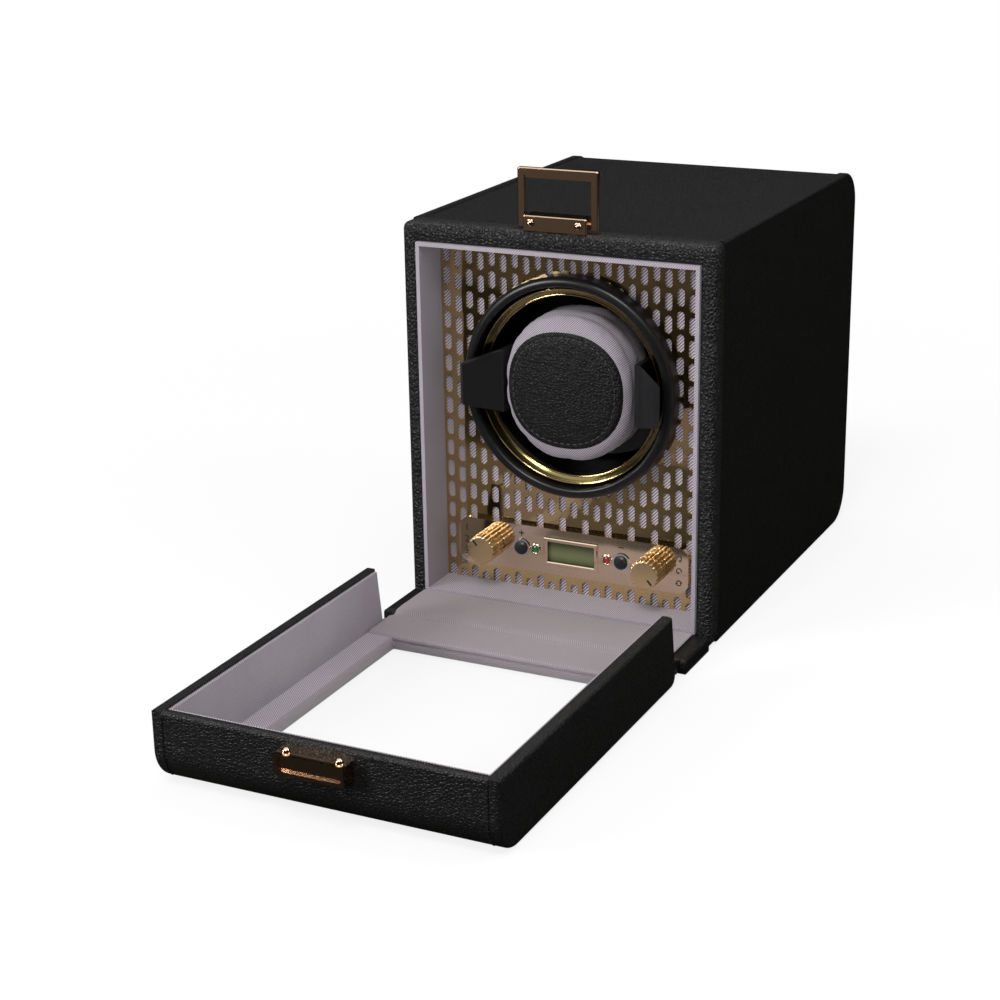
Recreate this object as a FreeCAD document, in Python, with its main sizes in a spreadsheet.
"""Single watch winder box with a fold-down glazed lid, as separate named pieces.

Frame: origin at the centre of the case's underside, +X to the right, +Y to the rear, +Z up, millimetres.
The lid lies open in front of the case. Depths are counted from the case's front plane to the rear.
"""
import FreeCAD, Part
import math
import os
import re
import Sketcher
from types import SimpleNamespace
from FreeCAD import Placement, Rotation, Vector

# Driving dimensions

SIZES = {
    # case boards and their leather edges
    "case_width": 134.0, "case_height": 164.0, "case_depth": 180.0,
    "corner_radius": 15.0, "side_board": 4.0, "wrap_board": 5.0, "welt": 0.6, "edge_round": 1.2,
    "seam_round": 0.9,
    "rim_side": 6.2, "rim_top": 8.0, "rim_bottom": 6.0, "rim_depth": 10.0, "rim_round": 2.7,
    # lining sleeve, fabric panel and perforated plate
    "lining_board": 1.6, "lining_lip": 0.4, "sleeve_depth": 18.0, "plate_thickness": 0.8,
    "plate_margin": 0.15, "panel_board": 4.0, "slot_width": 3.1, "slot_height": 7.2,
    "slot_pitch": 5.14, "slot_row": 9.2, "slot_shift": 2.1, "slot_clear": 0.5,
    # fold-down hinge
    "ledge_length": 28.0, "ledge_height": 6.0, "ledge_round": 1.6, "hinge_height": 2.0, "hinge_roll": 1.9,
    "hinge_gap": 0.5, "hinge_inset": 3.0, "flap_thickness": 0.6, "flap_gap": 0.45,
    # drum and its bezel
    "drum_rise": 2.8, "bezel_outer": 46.3, "bezel_inner": 42.0, "bezel_stand": 7.5, "bezel_spigot": 4.6,
    "spigot_wall": 1.4, "seat_gap": 0.1, "bezel_round": 2.6, "bezel_lip": 1.1, "drum_radius": 41.0,
    "drum_rim_width": 3.4, "drum_rim_stand": 5.4, "drum_rim_bevel": 2.2, "cup_front": 20.0, "cup_depth": 58.0,
    "cup_wall": 1.8, "cup_step": 0.2, "cup_floor": 3.0,
    # drive
    "shaft_radius": 3.0, "running_gap": 0.05, "hub_radius": 8.0, "hub_length": 4.0, "gear_width": 6.0,
    "gear_module": 1.0, "gear_teeth": 60, "pinion_teeth": 15, "pinion_margin": 1.0, "tooth_backlash": 0.12,
    "partition_gap": 6.0, "partition_board": 4.0, "bushing_radius": 5.5, "bushing_flange": 8.0,
    "flange_thickness": 1.6, "bushing_tail": 0.8, "clip_gap": 0.2, "clip_width": 1.0, "clip_radius": 5.0,
    "shaft_tail": 3.0, "motor_radius": 14.0, "motor_length": 30.0, "motor_boss": 5.0, "motor_shaft": 1.5,
    "motor_bore": 12.0, "screw_radius": 1.4, "screw_head": 2.7, "screw_head_height": 2.0, "screw_grip": 6.0,
    "screw_offset": 9.5,
    # control panel
    "control_height": 26.0, "control_half": 52.0, "control_tall": 20.0, "control_thickness": 3.0,
    "control_corner": 5.0, "cutout_half": 44.0, "cutout_tall": 12.0, "lcd_half": 11.0, "lcd_tall": 9.8,
    "lcd_sink": 0.8, "lcd_frame": 1.7, "lcd_frame_height": 0.9, "lcd_lap": 0.5, "module_half": 13.0,
    "module_tall": 11.0, "button_offset": 22.6, "button_radius": 2.9, "button_stand": 2.0,
    "button_travel": 1.0,
    "button_flange": 3.7, "flange_seat": 1.4, "button_flange_thickness": 0.8, "flange_play": 0.2,
    "stem_radius": 1.5, "ring_wall": 0.9, "ring_height": 0.6, "switch_tall": 1.7, "switch_side": 6.0,
    "led_offset": 16.2, "led_radius": 1.5, "led_stand": 0.3, "knob_offset": 36.8, "knob_radius": 6.3,
    "knob_length": 10.2, "knob_gap": 0.4, "knob_groove": 0.9, "flute_count": 24, "flute_radius": 0.55,
    "knob_shaft": 3.0, "shaft_depth": 1.4, "rotary_side": 11.0, "rotary_wall": 0.5, "board_gap": 4.2,
    "board_half": 46.0, "board_tall": 18.0, "board_thickness": 1.6,
    # rear inlet and inner leads
    "inlet_offset": 38.0, "inlet_radius": 5.4, "inlet_flange": 7.0, "inlet_lip": 1.6, "inlet_length": 19.0,
    "inlet_bore": 2.8, "inlet_bore_depth": 8.0, "inlet_pin": 1.0, "lead_radius": 1.1, "lead_bend": 6.0,
    "lead_drop": 6.0, "lead_hole_gap": 0.5,
    # latch on the case and catch on the lid
    "latch_half": 13.5, "latch_front": 1.0, "latch_depth": 8.5, "latch_height": 6.0, "latch_round": 0.6,
    "pivot_back": 4.2, "pivot_up": 3.0, "pivot_radius": 1.2, "pivot_depth": 4.0, "stud_radius": 1.6,
    "stud_offset": 10.2, "bail_gap": 0.8, "bail_bar": 2.9, "bail_thickness": 2.6, "bail_lip": 1.2,
    "bail_lip_thickness": 1.0, "bail_foot": 1.6, "bail_round": 0.7, "hook_gap": 0.4, "catch_bottom": 18.5,
    "catch_top": 26.0, "catch_thickness": 6.5, "catch_border": 1.4, "catch_recess": 1.2,
    # lid
    "lid_gap": 0.8, "lid_board": 4.0, "lid_side_board": 4.4, "lid_round": 14.0, "lid_inner_round": 6.0,
    "lid_edge": 1.5, "lid_end_bottom": 7.0, "lid_end_top": 11.5, "lid_heel": 4.5, "lid_lining": 1.4,
    "lining_foot": 9.0, "lining_reveal": 1.0, "flap_clear": 0.4, "window_half": 50.0, "window_start": 21.0,
    "window_margin": 12.0,
    "pane_lap": 3.0, "pane_thickness": 2.0, "pane_gap": 0.1,
    # watch pillow and its holder
    "pillow_half": 28.4, "pillow_tall": 62.0, "pillow_front": 8.0, "pillow_depth": 30.0, "patch_scale": 0.78,
    "patch_thickness": 0.8, "holder_gap": 0.5, "arm_thickness": 2.2, "arm_half": 13.0, "strap_gap": 10.0,
    "holder_floor": 3.0, "holder_gap_radial": 0.3, "stem_boss": 8.0, "stem_gap": 0.3, "tab_root": 13.0,
    "tab_tip": 3.0, "tab_reach": 13.0, "tab_tip_half": 8.5,
}

doc = FreeCAD.newDocument("watch_winder_box")
sheet = doc.addObject("Spreadsheet::Sheet", "Sizes")
for row, (alias, value) in enumerate(SIZES.items(), start=1):
    sheet.set(f"A{row}", alias)
    sheet.set(f"B{row}", str(value))
    sheet.setAlias(f"B{row}", alias)
doc.recompute()
s = SimpleNamespace(**{alias: float(sheet.get(alias)) for alias in SIZES})
mouth_top = s.case_height - s.rim_top - s.lining_board
drum_height = (mouth_top + s.control_height + s.control_tall / 2) / 2 + s.drum_rise

# Places that several pieces share, as formulas on the sheet

CENTRE = "0"
INNER_HALF = "(case_width / 2 - side_board)"
OPENING_HALF = "(case_width / 2 - rim_side)"
INNER_TOP = "(case_height - welt - wrap_board)"
MOUTH_TOP = "(case_height - rim_top - lining_board)"
DRUM_HEIGHT = f"(({MOUTH_TOP} + control_height + control_tall / 2) / 2 + drum_rise)"
PLATE_BACK = "(sleeve_depth + plate_thickness)"
PANEL_BACK = "(sleeve_depth + plate_thickness + panel_board)"
CONTROL_FRONT = "(sleeve_depth - control_thickness)"
BOARD_FRONT = "(sleeve_depth + plate_thickness + panel_board + board_gap)"
SPIGOT_OUTER = "(bezel_inner + spigot_wall)"
CUP_BACK = "(cup_front + cup_depth)"
GEAR_FRONT = "(cup_front + cup_depth + hub_length)"
PARTITION = "(cup_front + cup_depth + hub_length + gear_width + partition_gap)"
PARTITION_BACK = "(cup_front + cup_depth + hub_length + gear_width + partition_gap + partition_board)"
MOTOR_HEIGHT = f"({DRUM_HEIGHT} - gear_module * (gear_teeth + pinion_teeth) / 2)"
LID_LENGTH = "(case_height - hinge_height)"
LID_HEIGHT = "(ledge_length + hinge_height - lid_gap)"
LID_INNER_HALF = "(case_width / 2 - lid_side_board)"
LINING_START = "(ledge_height + flap_thickness - hinge_height + flap_clear)"
WINDOW_END = "(case_height - hinge_height - lid_board - window_margin)"
PIVOT_DEPTH = "(latch_front + pivot_back)"
PIVOT_HEIGHT = "(case_height + pivot_up)"
BAIL_INNER = "(latch_half + bail_gap)"
HOOK_REACH = "(latch_front + pivot_back + ledge_length + hinge_height - catch_bottom + hook_gap)"
HOLDER_FRONT = "(pillow_front + pillow_depth + strap_gap)"
CUP_INNER = "(drum_radius - cup_step - cup_wall)"

WORD = re.compile(r"[a-z]+(?:_[a-z]+)*")
FRONTWARD = Rotation(Vector(1, 0, 0), 90)
REARWARD = Rotation(Vector(1, 0, 0), -90)
SIDEWARD = Rotation(Vector(0, 1, 0), 90)
UPRIGHT = Rotation()
parts = []


def on_sheet(formula):
    """Write each size's name in a formula as a reference to its cell."""
    def cell(word):
        return "Sizes." + word.group() if word.group() in SIZES else word.group()

    return WORD.sub(cell, str(formula))


def bind(thing, **formulas):
    for prop, formula in formulas.items():
        thing.setExpression(prop.replace("__", "."), on_sheet(formula))


def place(thing, x, depth, z, turn=UPRIGHT):
    """Put a piece at x, at a depth behind the case's front plane and at a height, turned as given."""
    thing.Placement = Placement(Vector(), turn)
    bind(thing, Placement__Base__x=x, Placement__Base__y=f"-case_depth / 2 + ({depth})", Placement__Base__z=z)
    return thing


def keep(thing, label):
    """Name a finished piece and add it to the ones that are written."""
    thing.Label = label
    parts.append(thing)
    return thing


def box(label, x, depth, z, width, length, height):
    block = doc.addObject("Part::Box", label)
    bind(block, Length=width, Width=length, Height=height)
    return place(block, x, depth, z)


def rod(label, x, depth, z, radius, length, turn=REARWARD):
    bar = doc.addObject("Part::Cylinder", label)
    bind(bar, Radius=radius, Height=length)
    return place(bar, x, depth, z, turn)


def cut(label, base, *tools):
    for number, tool in enumerate(tools, start=1):
        result = doc.addObject("Part::Cut", f"{label}_cut_{number}")
        result.Base = base
        result.Tool = tool
        base = result
    return base


def fuse(label, *pieces):
    result = doc.addObject("Part::MultiFuse", label)
    result.Shapes = list(pieces)
    return result


def group(label, *pieces):
    result = doc.addObject("Part::Compound", label)
    result.Links = list(pieces)
    return result


def solid(label, shape, x=CENTRE, depth=CENTRE, z=CENTRE, turn=UPRIGHT):
    """A piece whose shape is made with geometry functions from the sheet's values."""
    piece = doc.addObject("Part::Feature", label)
    piece.Shape = shape
    return place(piece, x, depth, z, turn)


def sketch_on(body, role):
    plane = next(item for item in body.Origin.OriginFeatures if item.Role == role)
    sketch = body.newObject("Sketcher::SketchObject", body.Name + "_sketch")
    sketch.AttachmentSupport = [(plane, "")]
    sketch.MapMode = "FlatFace"
    return sketch


def fix(sketch, kind, element, point, formula):
    number = sketch.addConstraint(Sketcher.Constraint(kind, element, point, 1.0))
    sketch.setExpression(f"Constraints[{number}]", on_sheet(formula))


def draw_outline(sketch, points):
    """A closed outline of straight lines whose corners are bound to the sheet."""
    count = len(points)
    first = sketch.GeometryCount
    angles = [2 * math.pi * index / count for index in range(count)]
    loose = [Vector(math.cos(angle), math.sin(angle), 0) for angle in angles]
    for index in range(count):
        sketch.addGeometry(Part.LineSegment(loose[index], loose[(index + 1) % count]))
    for index, (across, up) in enumerate(points):
        follower = first + (index + 1) % count
        sketch.addConstraint(Sketcher.Constraint("Coincident", first + index, 2, follower, 1))
        fix(sketch, "DistanceX", first + index, 1, across)
        fix(sketch, "DistanceY", first + index, 1, up)


def draw_circle(sketch, across, up, radius):
    number = sketch.addGeometry(Part.Circle(Vector(1, 1, 0), Vector(0, 0, 1), 1.0))
    fix(sketch, "DistanceX", number, 3, across)
    fix(sketch, "DistanceY", number, 3, up)
    radius_number = sketch.addConstraint(Sketcher.Constraint("Radius", number, 1.0))
    sketch.setExpression(f"Constraints[{radius_number}]", on_sheet(radius))


def rectangle(left, low, right, high):
    return [(left, low), (right, low), (right, high), (left, high)]


def new_body(label):
    return doc.addObject("PartDesign::Body", label)


def prism(label, role, length, outlines, circles=(), midplane=False):
    """A padded profile: closed outlines and round holes on one of the body's own planes."""
    body = new_body(label)
    sketch = sketch_on(body, role)
    for points in outlines:
        draw_outline(sketch, points)
    for across, up, radius in circles:
        draw_circle(sketch, across, up, radius)
    pad = body.newObject("PartDesign::Pad", label + "_pad")
    pad.Profile = sketch
    pad.Midplane = midplane
    bind(pad, Length=length)
    doc.recompute()
    return body


def lathe(label, outline, x, depth, z, turn=FRONTWARD):
    """A turned piece: its outline is given as radius and height along its own axis."""
    body = new_body(label)
    sketch = sketch_on(body, "XZ_Plane")
    draw_outline(sketch, outline)
    turned = body.newObject("PartDesign::Revolution", label + "_turned")
    turned.Profile = sketch
    turned.ReferenceAxis = (sketch, ["V_Axis"])
    turned.Angle = 360
    doc.recompute()
    return place(body, x, depth, z, turn)


def chosen_edges(feature, chooser):
    edges = enumerate(feature.Shape.Edges, start=1)
    return [f"Edge{number}" for number, edge in edges if chooser(edge, feature.Shape.BoundBox)]


def round_edges(body, radius, chooser):
    base = body.Tip
    fillet = body.newObject("PartDesign::Fillet", body.Name + "_round")
    fillet.Base = (base, chosen_edges(base, chooser))
    bind(fillet, Radius=radius)
    doc.recompute()


def slope_edges(body, size, chooser):
    base = body.Tip
    chamfer = body.newObject("PartDesign::Chamfer", body.Name + "_slope")
    chamfer.Base = (base, chosen_edges(base, chooser))
    bind(chamfer, Size=size)
    doc.recompute()


def near(first, second):
    return abs(first - second) < 1e-6


def runs_along(edge, axis):
    """True for a straight edge along the given axis of its body."""
    if edge.Curve.TypeId != "Part::GeomLine":
        return False
    return near(abs(edge.Curve.Direction.dot(axis)), 1.0)


X_AXIS = Vector(1, 0, 0)
Y_AXIS = Vector(0, 1, 0)
Z_AXIS = Vector(0, 0, 1)


# Case boards


def side_panel(label, left):
    """A leather-covered side board with round rear corners and a softly rounded outer edge."""
    front = "-case_depth / 2 + rim_depth"
    body = prism(label, "YZ_Plane", "side_board", [rectangle(front, "0", "case_depth / 2", "case_height")])
    round_edges(body, "corner_radius", lambda edge, size: runs_along(edge, X_AXIS)
                and near(edge.CenterOfMass.y, size.YMax))
    outer = 0.0 if left else s.side_board

    def outer_edge(edge, size):
        on_face = near(edge.BoundBox.XMin, outer) and near(edge.BoundBox.XMax, outer)
        return on_face and not near(edge.BoundBox.YMax, size.YMin)

    round_edges(body, "edge_round", outer_edge)
    bind(body, Placement__Base__x="-case_width / 2" if left else "case_width / 2 - side_board")
    return keep(body, label)


def case_wrap():
    """The board that wraps the top, the back and the underside between the two side panels."""
    front = "-case_depth / 2 + rim_depth"
    back = "(case_depth / 2 - welt)"
    top = "(case_height - welt)"
    outline = [(front, "0"), (back, "0"), (back, top), (front, top), (front, f"{top} - wrap_board"),
               (f"{back} - wrap_board", f"{top} - wrap_board"), (f"{back} - wrap_board", "wrap_board"),
               (front, "wrap_board")]
    body = prism("case_wrap_board", "YZ_Plane", f"2 * {INNER_HALF}", [outline], midplane=True)
    rear = s.case_depth / 2 - s.welt
    round_edges(body, "corner_radius - welt", lambda edge, size: runs_along(edge, X_AXIS)
                and near(edge.CenterOfMass.y, rear))
    round_edges(body, "corner_radius - welt - wrap_board", lambda edge, size: runs_along(edge, X_AXIS)
                and near(edge.CenterOfMass.y, rear - s.wrap_board))

    def seam_edge(edge, size):
        at_side = near(edge.BoundBox.XMin, edge.BoundBox.XMax) and near(abs(edge.BoundBox.XMin), size.XMax)
        top_run = runs_along(edge, Y_AXIS) and near(edge.CenterOfMass.z, size.ZMax)
        back_run = runs_along(edge, Z_AXIS) and near(edge.CenterOfMass.y, size.YMax)
        is_arc = edge.Curve.TypeId == "Part::GeomCircle"
        outer_arc = is_arc and near(edge.Curve.Radius, s.corner_radius - s.welt)
        return at_side and (top_run or back_run or outer_arc)

    round_edges(body, "seam_round", seam_edge)
    inlet_hole = rod("inlet_hole", "inlet_offset", "case_depth - 2 * wrap_board", "control_height",
                     "inlet_radius + seat_gap", "4 * wrap_board")
    return keep(cut("case_wrap", body, inlet_hole), "case_wrap")


def front_rim():
    """The padded frame round the case's mouth, with soft edges."""
    outer = rectangle("-case_width / 2", "0", "case_width / 2", "case_height")
    inner = rectangle(f"-{OPENING_HALF}", "rim_bottom", OPENING_HALF, "case_height - rim_top")
    body = prism("front_rim", "XY_Plane", "rim_depth", [outer, inner])
    round_edges(body, "edge_round", lambda edge, size: runs_along(edge, Z_AXIS)
                and near(abs(edge.CenterOfMass.x), size.XMax))
    round_edges(body, "min(rim_round; 0.45 * rim_side; 0.45 * rim_bottom)",
                lambda edge, size: near(edge.BoundBox.ZMin, size.ZMax) and edge.CenterOfMass.y > 1e-6)
    place(body, CENTRE, "rim_depth", CENTRE, FRONTWARD)
    return keep(body, "front_rim")


def linings():
    """Four fabric-covered boards that make the sleeve inside the mouth."""
    length = f"{PLATE_BACK} + lining_lip"
    inner_low = "rim_bottom + lining_board"
    inner_tall = "case_height - rim_top - rim_bottom - 2 * lining_board"
    width = f"2 * {OPENING_HALF}"
    boards = {
        "lining_top": (f"-{OPENING_HALF}", "case_height - rim_top - lining_board", width, "lining_board"),
        "lining_floor": (f"-{OPENING_HALF}", "rim_bottom", width, "lining_board"),
        "lining_left": (f"-{OPENING_HALF}", inner_low, "lining_board", inner_tall),
        "lining_right": (f"{OPENING_HALF} - lining_board", inner_low, "lining_board", inner_tall),
    }
    for label, (x, z, across, tall) in boards.items():
        keep(box(label, x, "-lining_lip", z, across, length, tall), label)


# Fold-down hinge


def hinge_ledge():
    """The leather-covered board that carries the hinge in front of the case."""
    front = "-case_depth / 2 - ledge_length + hinge_roll + hinge_gap"
    outline = rectangle(front, "0", "-case_depth / 2", "ledge_height")
    body = prism("hinge_ledge", "YZ_Plane", "case_width", [outline], midplane=True)
    round_edges(body, "ledge_round", lambda edge, size: near(edge.BoundBox.ZMin, size.ZMax)
                and not near(edge.BoundBox.YMin, size.YMax))
    return keep(body, "hinge_ledge")


def leather_hinge():
    """The rolled leather fold on the hinge line."""
    half = "(case_width / 2 - hinge_inset)"
    roll = rod("leather_hinge", f"-{half}", "-ledge_length", "hinge_height", "hinge_roll", f"2 * {half}",
               SIDEWARD)
    return keep(roll, "leather_hinge")


def hinge_flap():
    """The fabric that lies on the ledge."""
    length = "ledge_length - hinge_roll - hinge_gap - flap_gap - ledge_round"
    flap = box("hinge_flap", f"-{OPENING_HALF}", f"-flap_gap - ({length})", "ledge_height",
               f"2 * {OPENING_HALF}", length, "flap_thickness")
    return keep(flap, "hinge_flap")


# Fabric panel and perforated plate


def control_holes(button_radius):
    """Round holes for the controls, as offset, height and radius."""
    bush = "knob_shaft + running_gap + rotary_wall + seat_gap"
    holes = []
    for side in ("-", ""):
        holes.append((f"{side}knob_offset", "control_height", bush))
        holes.append((f"{side}button_offset", "control_height", f"{button_radius} + seat_gap"))
        holes.append((f"{side}led_offset", "control_height", "led_radius + seat_gap"))
    return holes


def inner_panel():
    """The fabric-covered board that closes the mouth behind the perforated plate."""
    outer = rectangle(f"-{INNER_HALF}", "wrap_board", INNER_HALF, INNER_TOP)
    display = rectangle("-module_half - seat_gap", "control_height - module_tall / 2 - seat_gap",
                        "module_half + seat_gap", "control_height + module_tall / 2 + seat_gap")
    holes = [("0", DRUM_HEIGHT, f"{SPIGOT_OUTER} + seat_gap")] + control_holes("button_flange")
    body = prism("inner_panel", "XY_Plane", "panel_board", [outer, display], holes)
    place(body, CENTRE, PANEL_BACK, CENTRE, FRONTWARD)
    return keep(body, "inner_panel")


def slot_wire(x, z):
    """An upright round-ended slot as one closed wire."""
    radius = s.slot_width / 2
    straight = s.slot_height / 2 - radius
    right_low = Vector(x + radius, z - straight, 0)
    right_high = Vector(x + radius, z + straight, 0)
    left_high = Vector(x - radius, z + straight, 0)
    left_low = Vector(x - radius, z - straight, 0)
    crown = Part.Arc(right_high, Vector(x, z + straight + radius, 0), left_high)
    foot = Part.Arc(left_low, Vector(x, z - straight - radius, 0), right_low)
    edges = [Part.LineSegment(right_low, right_high), crown, Part.LineSegment(left_high, left_low), foot]
    return Part.Wire([edge.toShape() for edge in edges])


def slot_centres(half, low, high):
    """Slot centres in staggered columns over the whole plate."""
    columns = int(half / s.slot_pitch) + 1
    rows = int((high - low) / s.slot_row) + 2
    for column in range(-columns, columns + 1):
        shift = s.slot_shift if column % 2 else 0.0
        for row in range(-1, rows):
            yield column * s.slot_pitch, low + row * s.slot_row + shift


def perforated_plate():
    """The polished plate with upright slots in staggered columns, cut by its edges and by the drum's bore."""
    half = s.case_width / 2 - s.rim_side - s.lining_board - s.plate_margin
    low = s.rim_bottom + s.lining_board + s.plate_margin
    high = mouth_top - s.plate_margin
    bore = s.bezel_inner + s.spigot_wall + s.seat_gap
    reach = s.slot_height / 2 + s.slot_clear
    whole, clipped = [], []
    for x, z in slot_centres(half, low, high):
        aside = s.slot_width / 2 + s.slot_clear
        far_drum = math.hypot(abs(x) + aside, abs(z - drum_height) + reach)
        near_drum = math.hypot(max(abs(x) - aside, 0.0), max(abs(z - drum_height) - reach, 0.0))
        over_cutout = abs(x) < s.cutout_half + aside and abs(z - s.control_height) < s.cutout_tall / 2 + reach
        off_plate = abs(x) - aside > half or z + reach < low or z - reach > high
        if far_drum < bore or over_cutout or off_plate:
            continue
        inside = abs(x) + aside < half and low < z - reach and z + reach < high and near_drum > bore
        (whole if inside else clipped).append(slot_wire(x, z))
    corners = [Vector(-half, low), Vector(half, low), Vector(half, high), Vector(-half, high)]
    cut_low = s.control_height - s.cutout_tall / 2
    cut_high = s.control_height + s.cutout_tall / 2
    cut_corners = [Vector(-s.cutout_half, cut_low), Vector(s.cutout_half, cut_low),
                   Vector(s.cutout_half, cut_high), Vector(-s.cutout_half, cut_high)]
    wires = [Part.makePolygon(corners + corners[:1]), Part.makePolygon(cut_corners + cut_corners[:1])]
    circle = Part.Circle(Vector(0, drum_height, 0), Z_AXIS, bore)
    wires.append(Part.Wire(circle.toShape()))
    face = Part.makeFace(wires + whole, "Part::FaceMakerBullseye")
    rise = Vector(0, 0, s.plate_thickness)
    shape = face.extrude(rise)
    if clipped:
        shape = shape.cut(Part.makeCompound([Part.Face(wire).extrude(rise) for wire in clipped]))
    piece = solid("perforated_plate", largest(shape), CENTRE, PLATE_BACK, CENTRE, FRONTWARD)
    return keep(piece, "perforated_plate")


def largest(shape):
    """The biggest solid of a shape, without the crumbs that cutting left beside it."""
    return max(shape.Solids, key=lambda piece: piece.Volume)


# Drum


def bezel_ring():
    """The black ring round the drum, with a spigot in the fabric panel."""
    outline = [("bezel_inner", "-bezel_spigot"), (SPIGOT_OUTER, "-bezel_spigot"), (SPIGOT_OUTER, "0"),
               ("bezel_outer", "0"), ("bezel_outer", "bezel_stand"), ("bezel_inner", "bezel_stand")]
    body = lathe("bezel_ring", outline, CENTRE, "sleeve_depth", DRUM_HEIGHT)

    def front_circle(radius):
        return lambda edge, size: near(edge.BoundBox.ZMin, size.ZMax) and near(edge.BoundBox.XMax, radius)

    round_edges(body, "bezel_round", front_circle(s.bezel_outer))
    round_edges(body, "bezel_lip", front_circle(s.bezel_inner))
    return keep(body, "bezel_ring")


def drum_rim():
    """The polished bevelled ring on the mouth of the drum."""
    inner = "drum_radius - drum_rim_width"
    outline = [(inner, "0"), ("drum_radius", "0"), ("drum_radius", "drum_rim_stand"),
               ("drum_radius - drum_rim_width / 8", "drum_rim_stand"),
               (inner, "drum_rim_stand - drum_rim_bevel")]
    return keep(lathe("drum_rim", outline, CENTRE, "cup_front", DRUM_HEIGHT), "drum_rim")


def drum_cup():
    """The drum: a round cup with a bored floor."""
    outer = "drum_radius - cup_step"
    outline = [(CUP_INNER, "0"), (outer, "0"), (outer, "-cup_depth"), ("shaft_radius", "-cup_depth"),
               ("shaft_radius", "cup_floor - cup_depth"), (CUP_INNER, "cup_floor - cup_depth")]
    return keep(lathe("drum_cup", outline, CENTRE, "cup_front", DRUM_HEIGHT), "drum_cup")


# Drive


def gear_face(teeth, module, backlash):
    """A spur gear's outline as a face: straight-flanked teeth thinned by the backlash."""
    pitch = module * teeth / 2
    root = pitch - 1.25 * module
    tip = pitch + 0.9 * module
    step = 2 * math.pi / teeth
    half_pitch = (math.pi * module / 2 - backlash) / 2 / pitch
    half_root = half_pitch + 0.36 * module / pitch
    half_tip = half_pitch - 0.34 * module / pitch
    points = []
    for tooth in range(teeth):
        middle = tooth * step
        for radius, turn in ((root, -half_root), (tip, -half_tip), (tip, half_tip), (root, half_root)):
            points.append(Vector(radius * math.cos(middle + turn), radius * math.sin(middle + turn), 0))
    return Part.Face(Part.makePolygon(points + points[:1]))


def drum_gear():
    """The large gear on the drum's shaft, with its hub against the drum."""
    wheel = gear_face(int(s.gear_teeth), s.gear_module, s.tooth_backlash).extrude(Vector(0, 0, s.gear_width))
    hub = Part.makeCylinder(s.hub_radius, s.hub_length, Vector(0, 0, -s.hub_length))
    bore = Part.makeCylinder(s.shaft_radius, s.gear_width + s.hub_length, Vector(0, 0, -s.hub_length))
    shape = wheel.fuse(hub).cut(bore).removeSplitter()
    quarter = Rotation(Vector(0, 1, 0), 90 + 180 / s.gear_teeth)
    piece = solid("drum_gear", shape, CENTRE, GEAR_FRONT, DRUM_HEIGHT, quarter.multiply(REARWARD))
    return keep(piece, "drum_gear")


def drum_shaft():
    length = f"{PARTITION_BACK} + bushing_tail + clip_gap + clip_width + shaft_tail - {CUP_BACK} + cup_floor"
    bar = rod("drum_shaft", CENTRE, f"{CUP_BACK} - cup_floor", DRUM_HEIGHT, "shaft_radius", length)
    return keep(bar, "drum_shaft")


def shaft_clip():
    start = f"{PARTITION_BACK} + bushing_tail + clip_gap"
    disc = rod("clip_disc", CENTRE, start, DRUM_HEIGHT, "clip_radius", "clip_width")
    hole = rod("clip_hole", CENTRE, start, DRUM_HEIGHT, "shaft_radius", "clip_width")
    return keep(cut("shaft_clip", disc, hole), "shaft_clip")


def shaft_bushing():
    """The flanged bush that carries the drum's shaft in the partition."""
    bore = "shaft_radius + running_gap"
    outline = [(bore, "-flange_thickness"), ("bushing_flange", "-flange_thickness"), ("bushing_flange", "0"),
               ("bushing_radius", "0"), ("bushing_radius", "partition_board + bushing_tail"),
               (bore, "partition_board + bushing_tail")]
    return keep(lathe("shaft_bushing", outline, CENTRE, PARTITION, DRUM_HEIGHT, REARWARD), "shaft_bushing")


SCREW_PLACES = ("-screw_offset", "screw_offset")


def partition():
    """The inner board that carries the bush and the motor."""
    board = box("partition_board_blank", f"-{INNER_HALF}", PARTITION, "wrap_board", f"2 * {INNER_HALF}",
                "partition_board", f"{INNER_TOP} - wrap_board")
    holes = [rod("bushing_hole", CENTRE, PARTITION, DRUM_HEIGHT, "bushing_radius", "partition_board"),
             rod("boss_hole", CENTRE, PARTITION, MOTOR_HEIGHT, "motor_boss", "partition_board")]
    for number, x in enumerate(SCREW_PLACES):
        holes.append(rod(f"partition_screw_hole_{number}", x, PARTITION, MOTOR_HEIGHT, "screw_radius",
                         "partition_board"))
    lead_gap = "lead_radius + lead_hole_gap"
    for label, x, z in (("power_lead_hole", "inlet_offset", "control_height"),
                        ("motor_lead_hole", CENTRE, "control_height - lead_drop")):
        holes.append(rod(label, x, PARTITION, z, lead_gap, "partition_board"))
    return keep(cut("partition", board, *holes), "partition")


def motor():
    """The geared motor behind the partition, with its boss in the partition's hole."""
    bore = "motor_shaft + running_gap"
    outline = [(bore, "-partition_board"), ("motor_boss", "-partition_board"), ("motor_boss", "0"),
               ("motor_radius", "0"), ("motor_radius", "motor_length"), ("0", "motor_length"),
               ("0", "motor_bore"), (bore, "motor_bore")]
    body = lathe("motor_can", outline, CENTRE, PARTITION_BACK, MOTOR_HEIGHT, REARWARD)
    holes = [rod(f"motor_screw_hole_{number}", x, PARTITION_BACK, MOTOR_HEIGHT, "screw_radius", "screw_grip")
             for number, x in enumerate(SCREW_PLACES)]
    return keep(cut("motor", body, *holes), "motor")


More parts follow.
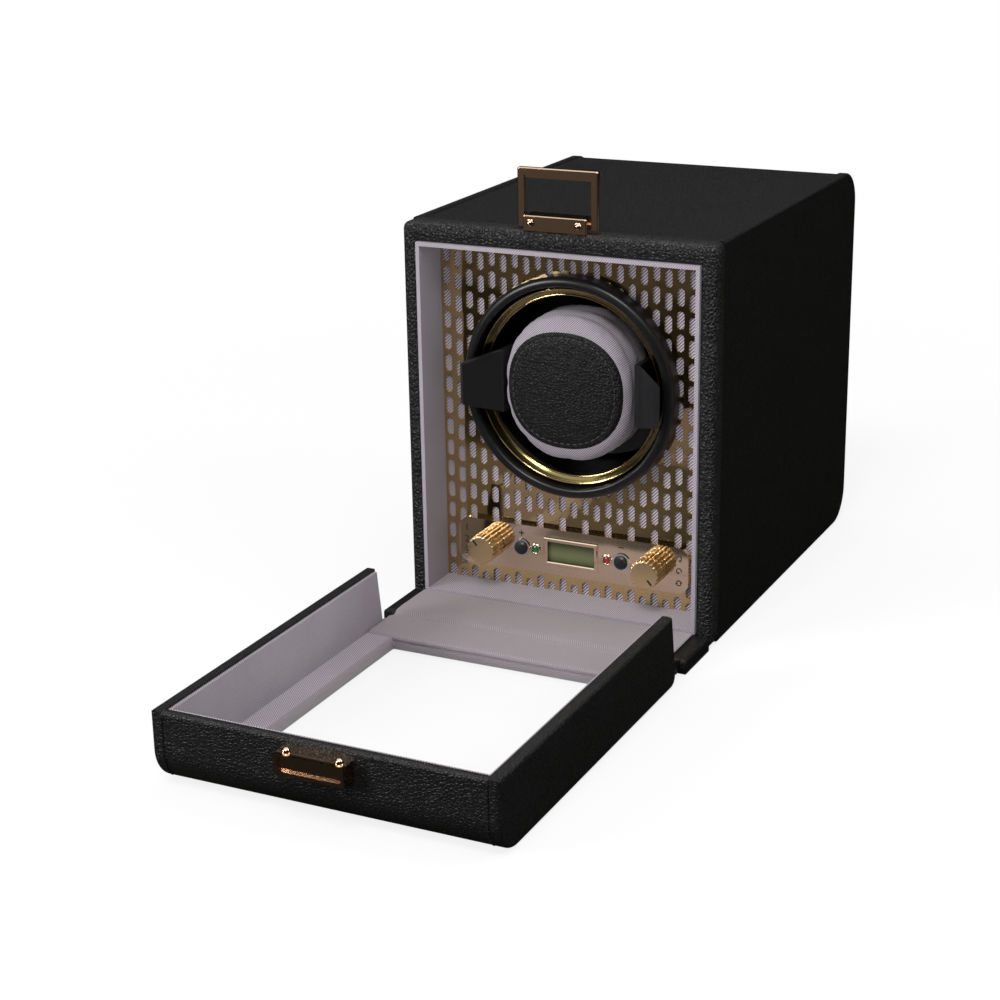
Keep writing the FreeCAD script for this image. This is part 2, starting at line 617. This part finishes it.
def motor_pinion():
    """The pinion on the motor's own shaft."""
    width = s.gear_width + 2 * s.pinion_margin
    teeth = gear_face(int(s.pinion_teeth), s.gear_module, s.tooth_backlash).extrude(Vector(0, 0, width))
    reach = s.gear_width + s.partition_gap + s.partition_board + s.motor_bore
    shaft = Part.makeCylinder(s.motor_shaft, reach)
    shape = teeth.fuse(shaft).removeSplitter()
    quarter = Rotation(Vector(0, 1, 0), -90)
    piece = solid("motor_pinion", shape, CENTRE, f"{GEAR_FRONT} - pinion_margin", MOTOR_HEIGHT,
                  quarter.multiply(REARWARD))
    return keep(piece, "motor_pinion")


def motor_screws():
    """Two screws through the partition into the motor."""
    screws = []
    for number, x in enumerate(SCREW_PLACES):
        head = rod(f"screw_head_{number}", x, f"{PARTITION} - screw_head_height", MOTOR_HEIGHT, "screw_head",
                   "screw_head_height")
        shank = rod(f"screw_shank_{number}", x, PARTITION, MOTOR_HEIGHT, "screw_radius",
                    "partition_board + screw_grip")
        screws.append(fuse(f"screw_{number}", head, shank))
    return keep(group("motor_screws", *screws), "motor_screws")


# Control panel and electronics


def control_panel():
    """The polished plate with the display window and the holes for knobs, buttons and lamps."""
    half = "control_tall / 2"
    outer = rectangle("-control_half", f"control_height - {half}", "control_half", f"control_height + {half}")
    window = rectangle("-lcd_half", "control_height - lcd_tall / 2",
                       "lcd_half", "control_height + lcd_tall / 2")
    holes = control_holes("button_radius")
    body = prism("control_plate", "XY_Plane", "control_thickness", [outer, window], holes)
    round_edges(body, "control_corner", lambda edge, size: runs_along(edge, Z_AXIS)
                and near(abs(edge.CenterOfMass.x), size.XMax))
    place(body, CENTRE, "sleeve_depth", CENTRE, FRONTWARD)
    seats = [rod(f"button_seat_{number}", f"{side}button_offset", f"{CONTROL_FRONT} + flange_seat",
                 "control_height", "button_flange + seat_gap", "control_thickness")
             for number, side in enumerate(("-", ""))]
    return keep(cut("control_panel", body, *seats), "control_panel")


def lcd_bezel():
    """The raised frame round the display window."""
    outer_half = "lcd_half + lcd_frame - lcd_lap"
    outer_tall = "lcd_tall / 2 + lcd_frame - lcd_lap"
    inner_half = "lcd_half - lcd_lap"
    inner_tall = "lcd_tall / 2 - lcd_lap"
    outer = rectangle(f"-({outer_half})", f"-({outer_tall})", outer_half, outer_tall)
    inner = rectangle(f"-({inner_half})", f"-({inner_tall})", inner_half, inner_tall)
    body = prism("lcd_bezel", "XY_Plane", "lcd_frame_height", [outer, inner])
    slope_edges(body, "0.4 * lcd_frame_height", lambda edge, size: near(edge.BoundBox.ZMin, size.ZMax))
    place(body, CENTRE, CONTROL_FRONT, "control_height", FRONTWARD)
    return keep(body, "lcd_bezel")


def display():
    """The display's glass in the window and its module between the panel and the circuit board."""
    glass = box("lcd_glass", "-lcd_half", f"{CONTROL_FRONT} + lcd_sink", "control_height - lcd_tall / 2",
                "2 * lcd_half", "control_thickness - lcd_sink", "lcd_tall")
    keep(glass, "lcd_glass")
    module = box("lcd_module", "-module_half", "sleeve_depth", "control_height - module_tall / 2",
                 "2 * module_half", f"{BOARD_FRONT} - sleeve_depth", "module_tall")
    keep(module, "lcd_module")


def lamp(label, x):
    """A round indicator lamp with a domed front, standing on the circuit board."""
    length = f"({BOARD_FRONT} - {CONTROL_FRONT})"
    outline = [("0", "0"), ("led_radius", "0"), ("led_radius", length),
               ("0.6 * led_radius", f"{length} + led_stand"), ("0", f"{length} + led_stand")]
    return keep(lathe(label, outline, x, BOARD_FRONT, "control_height"), label)


def button(label, x):
    """A push button with a domed cap, a flange behind the plate and a stem to its switch."""
    flange = "(control_thickness - flange_seat - flange_play)"
    stem = f"(sleeve_depth - {BOARD_FRONT} + switch_tall + button_travel + flange_play)"
    cap = "(control_thickness + button_stand)"
    outline = [("0", stem), ("stem_radius", stem), ("stem_radius", f"{flange} - button_flange_thickness"),
               ("button_flange", f"{flange} - button_flange_thickness"), ("button_flange", flange),
               ("button_radius", flange), ("button_radius", f"{cap} - 0.45 * button_stand"),
               ("0.72 * button_radius", f"{cap} - 0.12 * button_stand"), ("0.3 * button_radius", cap),
               ("0", cap)]
    return keep(lathe(label, outline, x, "sleeve_depth", "control_height"), label)


def button_rings():
    rings = []
    for number, side in enumerate(("-", "")):
        place_of = (f"{side}button_offset", f"{CONTROL_FRONT} - ring_height", "control_height")
        disc = rod(f"ring_disc_{number}", *place_of, "button_radius + seat_gap + ring_wall", "ring_height")
        hole = rod(f"ring_hole_{number}", *place_of, "button_radius + seat_gap", "ring_height")
        rings.append(cut(f"button_ring_{number}", disc, hole))
    return keep(group("button_rings", *rings), "button_rings")


def push_switches():
    switches = [box(f"push_switch_{number}", f"{side}button_offset - switch_side / 2",
                    f"{BOARD_FRONT} - switch_tall", "control_height - switch_side / 2", "switch_side",
                    "switch_tall", "switch_side")
                for number, side in enumerate(("-", ""))]
    return keep(group("push_switches", *switches), "push_switches")


def knob(label, x):
    """A fluted two-stage knob with its shaft, which turns in the rotary switch."""
    foot = "(control_thickness + knob_gap)"
    face = "(control_thickness + knob_gap + knob_length)"
    waist = "(control_thickness + knob_gap + 0.44 * knob_length)"
    tail = f"(sleeve_depth - {PANEL_BACK} - shaft_depth)"
    outline = [("0", tail), ("knob_shaft", tail), ("knob_shaft", foot), ("knob_radius", foot),
               ("knob_radius", waist), ("knob_radius - knob_groove", waist),
               ("knob_radius - knob_groove", f"{waist} + knob_groove"),
               ("knob_radius", f"{waist} + knob_groove"), ("knob_radius", f"{face} - knob_groove"),
               ("knob_radius - knob_groove", face), ("0", face)]
    body = lathe(label, outline, x, "sleeve_depth", "control_height")
    turned = body.Tip
    sketch = sketch_on(body, "XY_Plane")
    draw_circle(sketch, "knob_radius", "0", "flute_radius")
    sketch.setExpression("AttachmentOffset.Base.z", on_sheet(foot))
    flute = body.newObject("PartDesign::Pocket", label + "_flute")
    flute.Profile = sketch
    flute.Reversed = True
    bind(flute, Length="knob_length")
    doc.recompute()
    ring = body.newObject("PartDesign::PolarPattern", label + "_flutes")
    ring.Originals = [flute]
    ring.Axis = (sketch, ["N_Axis"])
    ring.Angle = 360
    ring.Occurrences = int(s.flute_count)
    body.Tip = ring
    doc.recompute()
    if ring.Shape.Volume > turned.Shape.Volume - s.flute_count * s.flute_radius ** 2:
        raise RuntimeError(label + ": the flutes cut nothing")
    return keep(body, label)


def rotary_switch(label, x):
    """A rotary switch: a square body on the circuit board and a bush that carries the knob's shaft."""
    half = "rotary_side / 2"
    block = box(label + "_block", f"{x} - {half}", PANEL_BACK, f"control_height - {half}", "rotary_side",
                "board_gap", "rotary_side")
    bush = rod(label + "_bush", x, f"{CONTROL_FRONT} + flange_play", "control_height",
               "knob_shaft + running_gap + rotary_wall", f"{PANEL_BACK} - {CONTROL_FRONT} - flange_play")
    bore = rod(label + "_bore", x, CONTROL_FRONT, "control_height", "knob_shaft + running_gap",
               f"{PANEL_BACK} - {CONTROL_FRONT} + shaft_depth + flange_play")
    return keep(cut(label, fuse(label + "_whole", block, bush), bore), label)


def circuit_board():
    board = box("circuit_board", "-board_half", BOARD_FRONT, "control_height - board_tall / 2",
                "2 * board_half", "board_thickness", "board_tall")
    return keep(board, "circuit_board")


# Rear inlet and inner leads


def power_inlet():
    """The round low-voltage inlet in the rear wall, with its centre pin."""
    outline = [("0", "-inlet_length"), ("inlet_radius", "-inlet_length"), ("inlet_radius", "0"),
               ("inlet_flange", "0"), ("inlet_flange", "inlet_lip"), ("inlet_bore", "inlet_lip"),
               ("inlet_bore", "-inlet_bore_depth"), ("inlet_pin", "-inlet_bore_depth"),
               ("inlet_pin", "0"), ("0", "0")]
    inlet = lathe("power_inlet", outline, "inlet_offset", "case_depth - welt", "control_height", REARWARD)
    return keep(inlet, "power_inlet")


def power_lead():
    """The straight lead from the inlet to the circuit board."""
    start = f"{BOARD_FRONT} + board_thickness"
    lead = rod("power_lead", "inlet_offset", start, "control_height", "lead_radius",
               f"case_depth - welt - inlet_length - ({start})")
    return keep(lead, "power_lead")


def motor_lead():
    """The lead from the back of the motor, down and forward to the circuit board."""
    motor_height = drum_height - s.gear_module * (s.gear_teeth + s.pinion_teeth) / 2
    run_height = s.control_height - s.lead_drop
    drop = motor_height - run_height
    gear_front = s.cup_front + s.cup_depth + s.hub_length
    motor_back = gear_front + s.gear_width + s.partition_gap + s.partition_board + s.motor_length
    board_back = s.sleeve_depth + s.plate_thickness + s.panel_board + s.board_gap + s.board_thickness
    bend = s.lead_bend
    stub = s.lead_radius * 2
    turn = bend * (1 - math.sqrt(0.5))
    far = stub + bend
    points = [Vector(0, 0, 0), Vector(0, stub, 0), Vector(0, far - turn, -turn), Vector(0, far, -bend),
              Vector(0, far, bend - drop), Vector(0, far - turn, turn - drop), Vector(0, stub, -drop),
              Vector(0, board_back - motor_back, -drop)]
    edges = [Part.LineSegment(points[0], points[1]), Part.Arc(points[1], points[2], points[3]),
             Part.LineSegment(points[3], points[4]), Part.Arc(points[4], points[5], points[6]),
             Part.LineSegment(points[6], points[7])]
    path = Part.Wire([edge.toShape() for edge in edges])
    section = Part.Wire(Part.Circle(points[0], Vector(0, 1, 0), s.lead_radius).toShape())
    shape = path.makePipeShell([section], True, False)
    expected = math.pi * s.lead_radius ** 2 * path.Length
    if abs(shape.Volume - expected) > 0.01 * expected:
        raise RuntimeError("motor_lead: the tube's volume is wrong")
    piece = solid("motor_lead", shape, CENTRE, f"{PARTITION_BACK} + motor_length", MOTOR_HEIGHT)
    return keep(piece, "motor_lead")


# Latch


def stud(label, x, depth, z, turn):
    """A round stud head: half a ball on a flat face."""
    ball = doc.addObject("Part::Sphere", label)
    bind(ball, Radius="stud_radius")
    ball.Angle1 = 0
    return place(ball, x, depth, z, turn)


def latch_base():
    """The metal block on the case's top that carries the bail."""
    back = "latch_front + latch_depth"
    outline = rectangle("-case_depth / 2 + latch_front", "case_height", f"-case_depth / 2 + {back}",
                        "case_height + latch_height")
    body = prism("latch_block", "YZ_Plane", "2 * latch_half", [outline], midplane=True)
    round_edges(body, "latch_round", lambda edge, size: not near(edge.BoundBox.ZMax, size.ZMin))
    holes = [rod("pivot_hole_left", "-latch_half", PIVOT_DEPTH, PIVOT_HEIGHT, "pivot_radius + running_gap",
                 "pivot_depth", SIDEWARD),
             rod("pivot_hole_right", "latch_half - pivot_depth", PIVOT_DEPTH, PIVOT_HEIGHT,
                 "pivot_radius + running_gap", "pivot_depth", SIDEWARD)]
    return keep(cut("latch_base", body, *holes), "latch_base")


def latch_studs():
    studs = [stud(f"latch_stud_{number}", f"{side}stud_offset", "latch_front", PIVOT_HEIGHT, FRONTWARD)
             for number, side in enumerate(("-", ""))]
    return keep(group("latch_studs", *studs), "latch_studs")


def bail():
    """The swinging wire-frame loop: two legs, a top bar with an inner lip, and two pivot pins."""
    outer = f"({BAIL_INNER} + bail_bar)"
    low = "-bail_foot"
    bar_low = f"({HOOK_REACH} + bail_lip)"
    top = f"({HOOK_REACH} + bail_lip + bail_bar)"
    outline = [(f"-{outer}", low), (f"-{BAIL_INNER}", low), (f"-{BAIL_INNER}", bar_low),
               (BAIL_INNER, bar_low), (BAIL_INNER, low), (outer, low), (outer, top), (f"-{outer}", top)]
    body = prism("bail_loop", "XY_Plane", "bail_thickness", [outline], midplane=True)
    round_edges(body, "bail_round", lambda edge, size: near(abs(edge.CenterOfMass.x), size.XMax)
                or near(edge.CenterOfMass.y, size.YMax))
    place(body, CENTRE, PIVOT_DEPTH, PIVOT_HEIGHT, FRONTWARD)
    lip = box("bail_inner_lip", f"-{BAIL_INNER}", f"{PIVOT_DEPTH} - bail_lip_thickness / 2",
              f"{PIVOT_HEIGHT} + {HOOK_REACH}", f"2 * {BAIL_INNER}", "bail_lip_thickness", "bail_lip")
    pin_length = "pivot_depth + bail_gap - flange_play + bail_bar / 2"
    pins = [rod("bail_pin_left", f"-{BAIL_INNER} - bail_bar / 2", PIVOT_DEPTH, PIVOT_HEIGHT, "pivot_radius",
                pin_length, SIDEWARD),
            rod("bail_pin_right", f"{BAIL_INNER} + bail_bar / 2 - ({pin_length})", PIVOT_DEPTH, PIVOT_HEIGHT,
                "pivot_radius", pin_length, SIDEWARD)]
    return keep(fuse("bail", body, lip, *pins), "bail")


# Lid, lying open


def lid_y(along):
    """The Y of a point on the open lid, as its distance from the hinge line."""
    return f"-case_depth / 2 - ledge_length - ({along})"


def lid_depth(along):
    return f"-ledge_length - ({along})"


def lid_shell():
    """The lid's window frame and its far wall, bent from one covered board."""
    start = "hinge_roll + hinge_gap"
    far = LID_LENGTH
    outline = [(lid_y(start), "0"), (lid_y(start), "lid_board"), (lid_y(f"{far} - lid_board"), "lid_board"),
               (lid_y(f"{far} - lid_board"), LID_HEIGHT), (lid_y(far), LID_HEIGHT), (lid_y(far), "0")]
    body = prism("lid_board_bent", "YZ_Plane", f"2 * {LID_INNER_HALF}", [outline], midplane=True)
    inner_y = -s.case_depth / 2 - s.ledge_length - s.case_height + s.hinge_height + s.lid_board
    round_edges(body, "lid_inner_round", lambda edge, size: runs_along(edge, X_AXIS)
                and near(edge.CenterOfMass.y, inner_y) and near(edge.CenterOfMass.z, s.lid_board))
    round_edges(body, "lid_round", lambda edge, size: runs_along(edge, X_AXIS)
                and near(edge.CenterOfMass.y, size.YMin) and near(edge.CenterOfMass.z, size.ZMin))
    round_edges(body, "lid_edge", lambda edge, size: runs_along(edge, X_AXIS)
                and near(edge.CenterOfMass.z, size.ZMax))
    length = f"{WINDOW_END} - window_start"
    window = box("lid_window_hole", "-window_half", lid_depth(WINDOW_END), "-lid_board", "2 * window_half",
                 length, "3 * lid_board")
    rebate = box("lid_rebate", "-window_half - pane_lap", lid_depth(f"{WINDOW_END} + pane_lap"),
                 "lid_board - pane_thickness", "2 * (window_half + pane_lap)", f"{length} + 2 * pane_lap",
                 "2 * pane_thickness")
    whole = cut("lid_shell", body, window, rebate)
    return keep(whole, "lid_shell")


def lid_window():
    length = f"{WINDOW_END} - window_start"
    lap = "(pane_lap - pane_gap)"
    pane = box("lid_window", f"-window_half - {lap}", lid_depth(f"{WINDOW_END} + {lap}"),
               "lid_board - pane_thickness", f"2 * (window_half + {lap})", f"{length} + 2 * {lap}",
               "pane_thickness")
    return keep(pane, "lid_window")


def lid_side(label, left):
    """A side wall of the lid: slanted at the hinge end, round at the far lower corner."""
    outline = [(lid_y("lid_end_bottom"), "0"), (lid_y("lid_end_top"), LID_HEIGHT),
               (lid_y(LID_LENGTH), LID_HEIGHT), (lid_y(LID_LENGTH), "0")]
    body = prism(label, "YZ_Plane", "lid_side_board", [outline])
    heel_y = -s.case_depth / 2 - s.ledge_length - s.lid_end_bottom

    def low_edge(edge, size, y):
        low = runs_along(edge, X_AXIS) and near(edge.CenterOfMass.z, size.ZMin)
        return low and near(edge.CenterOfMass.y, y)

    round_edges(body, "lid_round", lambda edge, size: low_edge(edge, size, size.YMin))
    round_edges(body, "lid_heel", lambda edge, size: low_edge(edge, size, heel_y))
    outer = 0.0 if left else s.lid_side_board
    round_edges(body, "lid_edge", lambda edge, size: near(edge.BoundBox.XMin, outer)
                and near(edge.BoundBox.XMax, outer))
    bind(body, Placement__Base__x="-case_width / 2" if left else "case_width / 2 - lid_side_board")
    return keep(body, label)


def lid_side_lining(label, left):
    """The fabric-covered board inside a side wall."""
    low = "(lid_board + lid_lining)"
    high = f"({LID_HEIGHT} - lining_reveal)"
    far = f"{LID_LENGTH} - lid_board - lid_lining"
    slope = f"(lid_end_top - lid_end_bottom) / {LID_HEIGHT}"
    start = "lid_end_bottom + lining_reveal"
    outline = [(lid_y(f"{start} + {low} * {slope}"), low), (lid_y(f"{start} + {high} * {slope}"), high),
               (lid_y(far), high), (lid_y(far), low)]
    body = prism(label, "YZ_Plane", "lid_lining", [outline])
    round_edges(body, "lid_inner_round - lid_lining", lambda edge, size: runs_along(edge, X_AXIS)
                and near(edge.CenterOfMass.y, size.YMin) and near(edge.CenterOfMass.z, size.ZMin))
    bind(body, Placement__Base__x=f"-{LID_INNER_HALF}" if left else f"{LID_INNER_HALF} - lid_lining")
    return keep(body, label)


def lid_far_lining():
    """The fabric-covered board inside the far wall, with a foot that bends into the corner."""
    high = f"({LID_HEIGHT} - lining_reveal)"
    back = f"{LID_LENGTH} - lid_board"
    foot = f"{back} - lining_foot"
    outline = [(lid_y(back), "lid_board"), (lid_y(back), high), (lid_y(f"{back} - lid_lining"), high),
               (lid_y(f"{back} - lid_lining"), "lid_board + lid_lining"),
               (lid_y(foot), "lid_board + lid_lining"), (lid_y(foot), "lid_board")]
    body = prism("lid_far_lining", "YZ_Plane", f"2 * {LID_INNER_HALF}", [outline], midplane=True)
    low = s.lid_board
    low_y = -s.case_depth / 2 - s.ledge_length - s.case_height + s.hinge_height + s.lid_board

    def corner(inset):
        return lambda edge, size: (runs_along(edge, X_AXIS) and near(edge.CenterOfMass.y, low_y + inset)
                                   and near(edge.CenterOfMass.z, low + inset))

    round_edges(body, "lid_inner_round", corner(0.0))
    round_edges(body, "lid_inner_round - lid_lining", corner(s.lid_lining))
    return keep(body, "lid_far_lining")


def lid_frame_lining():
    """The fabric-covered frame round the window, over the edge of the pane."""
    far = f"{LID_LENGTH} - lid_board - lining_foot"
    blank = box("lid_frame_blank", f"-{LID_INNER_HALF}", lid_depth(far), "lid_board", f"2 * {LID_INNER_HALF}",
                f"{far} - {LINING_START}", "lid_lining")
    hole = box("lid_frame_hole", "-window_half", lid_depth(WINDOW_END), "lid_board", "2 * window_half",
               f"{WINDOW_END} - window_start", "lid_lining")
    return keep(cut("lid_frame_lining", blank, hole), "lid_frame_lining")


def lid_catch():
    """The metal block on the lid's far wall that the bail hooks over, with a recessed face."""
    tall = "catch_top - catch_bottom"
    block = box("catch_block", "-latch_half", lid_depth(f"{LID_LENGTH} + catch_thickness"), "catch_bottom",
                "2 * latch_half", "catch_thickness", tall)
    recess = box("catch_tray", "-latch_half + catch_border", lid_depth(f"{LID_LENGTH} + catch_thickness"),
                 "catch_bottom + catch_border", "2 * (latch_half - catch_border)", "catch_recess",
                 f"{tall} - 1.5 * catch_border")
    return keep(cut("lid_catch", block, recess), "lid_catch")


def catch_studs():
    middle = lid_depth(f"{LID_LENGTH} + catch_thickness / 2")
    studs = [stud(f"catch_stud_{number}", f"{side}stud_offset", middle, "catch_top", UPRIGHT)
             for number, side in enumerate(("-", ""))]
    return keep(group("catch_studs", *studs), "catch_studs")


# Watch pillow and holder


def oval_wire(half, tall, height):
    """An oval of four arcs at a height along the pillow's axis."""
    corner = math.sqrt(0.5)
    points = [Vector(half * math.cos(angle), tall / 2 * math.sin(angle), height)
              for angle in (index * math.pi / 4 for index in range(8))]
    blunt = 1.0 + 0.12 * (1 - corner)
    for index in (1, 3, 5, 7):
        points[index] = Vector(points[index].x * blunt, points[index].y * blunt, height)
    arcs = [Part.Arc(points[index], points[index + 1], points[(index + 2) % 8]) for index in (0, 2, 4, 6)]
    return Part.Wire([arc.toShape() for arc in arcs])


# the pillow's outline from its back to its crown: share of the depth, and scale of the oval there
PILLOW_PROFILE = ((0.0, 0.90), (0.06, 0.955), (0.3, 0.94), (0.62, 0.955), (0.80, 1.0), (0.89, 0.985),
                  (0.945, 0.93), (0.98, 0.82), (1.0, 0.60))


def pillow():
    """The soft oval pillow: drawn-in sides and a crowned front."""
    wires = [oval_wire(s.pillow_half * scale, s.pillow_tall * scale, s.pillow_depth * share)
             for share, scale in PILLOW_PROFILE]
    shape = Part.makeLoft(wires, True, True)
    piece = solid("pillow", shape, CENTRE, "pillow_front + pillow_depth", DRUM_HEIGHT, FRONTWARD)
    return keep(piece, "pillow")


def pillow_patch(cushion):
    """The leather patch sewn on the pillow's crown."""
    rise = s.pillow_depth + s.patch_thickness
    profile = ((0.80 * s.pillow_depth, 1.0), (rise - 1.2 * s.patch_thickness, 1.0), (rise, 0.86))
    wires = [oval_wire(s.pillow_half * s.patch_scale * scale, s.pillow_tall * s.patch_scale * scale, height)
             for height, scale in profile]
    blank = solid("patch_blank", Part.makeLoft(wires, True, True), CENTRE, "pillow_front + pillow_depth",
                  DRUM_HEIGHT, FRONTWARD)
    return keep(cut("pillow_patch", blank, cushion), "pillow_patch")


def tab_section(x, height, half):
    """A finger tab's section: an upright rectangle, as thick as the arm."""
    thick = s.arm_thickness / 2
    corners = [Vector(x - thick, -half, height - thick), Vector(x + thick, -half, height + thick),
               Vector(x + thick, half, height + thick), Vector(x - thick, half, height - thick)]
    return Part.makePolygon(corners + corners[:1])


def pillow_holder():
    """The holder: a round floor that passes the rim, two arms beside the pillow and two flared tabs."""
    floor_front = s.pillow_front + s.pillow_depth + s.strap_gap
    mouth = s.drum_radius - s.drum_rim_width
    stem_end = s.cup_front + s.cup_depth - s.cup_floor - s.stem_gap
    disc = Part.makeCylinder(mouth - s.holder_gap_radial, s.holder_floor, Vector(0, 0, -s.holder_floor))
    boss = Part.makeCylinder(s.stem_boss, stem_end - floor_front, Vector(0, 0, floor_front - stem_end))
    pieces = [boss]
    inner = s.pillow_half + s.holder_gap
    middle = inner + s.arm_thickness / 2
    root = floor_front - s.tab_root
    for side in (-1, 1):
        arm = Part.makeBox(s.arm_thickness, 2 * s.arm_half, root)
        arm.translate(Vector(side * middle - s.arm_thickness / 2, -s.arm_half, 0))
        inner_end = tab_section(side * middle, root - s.arm_thickness / 2, s.arm_half)
        outer_end = tab_section(side * (middle + s.tab_reach), floor_front - s.tab_tip, s.tab_tip_half)
        pieces += [arm, Part.makeLoft([inner_end, outer_end], True, True)]
    shape = disc.multiFuse(pieces).removeSplitter()
    piece = solid("pillow_holder", shape, CENTRE, HOLDER_FRONT, DRUM_HEIGHT, FRONTWARD)
    return keep(piece, "pillow_holder")


def build():
    side_panel("left_side_panel", True)
    side_panel("right_side_panel", False)
    case_wrap()
    front_rim()
    linings()
    hinge_ledge()
    leather_hinge()
    hinge_flap()
    inner_panel()
    perforated_plate()
    bezel_ring()
    drum_rim()
    drum_cup()
    drum_gear()
    drum_shaft()
    shaft_clip()
    shaft_bushing()
    partition()
    motor()
    motor_pinion()
    motor_screws()
    control_panel()
    lcd_bezel()
    display()
    lamp("green_led", "-led_offset")
    lamp("red_led", "led_offset")
    button("plus_button", "-button_offset")
    button("minus_button", "button_offset")
    button_rings()
    push_switches()
    knob("left_knob", "-knob_offset")
    knob("right_knob", "knob_offset")
    rotary_switch("left_rotary_switch", "-knob_offset")
    rotary_switch("right_rotary_switch", "knob_offset")
    circuit_board()
    power_inlet()
    power_lead()
    motor_lead()
    latch_base()
    latch_studs()
    bail()
    lid_shell()
    lid_window()
    lid_side("lid_left_wall", True)
    lid_side("lid_right_wall", False)
    lid_side_lining("lid_left_lining", True)
    lid_side_lining("lid_right_lining", False)
    lid_far_lining()
    lid_frame_lining()
    lid_catch()
    catch_studs()
    pillow_patch(pillow())
    pillow_holder()


def check():
    """Stop if any object failed or any piece has no valid shape."""
    doc.recompute()
    for thing in doc.Objects:
        if "Invalid" in thing.State or "Error" in thing.State:
            raise RuntimeError(f"{thing.Label} failed: {thing.State}")
    for piece in parts:
        if piece.Shape.isNull() or not piece.Shape.isValid() or not piece.Shape.Solids:
            raise RuntimeError(f"{piece.Label} has no valid shape")


def write():
    os.makedirs("parts", exist_ok=True)
    for piece in parts:
        piece.Shape.exportStep(f"parts/{piece.Label}.step")
    print(len(parts), "pieces written")


build()
check()
write()
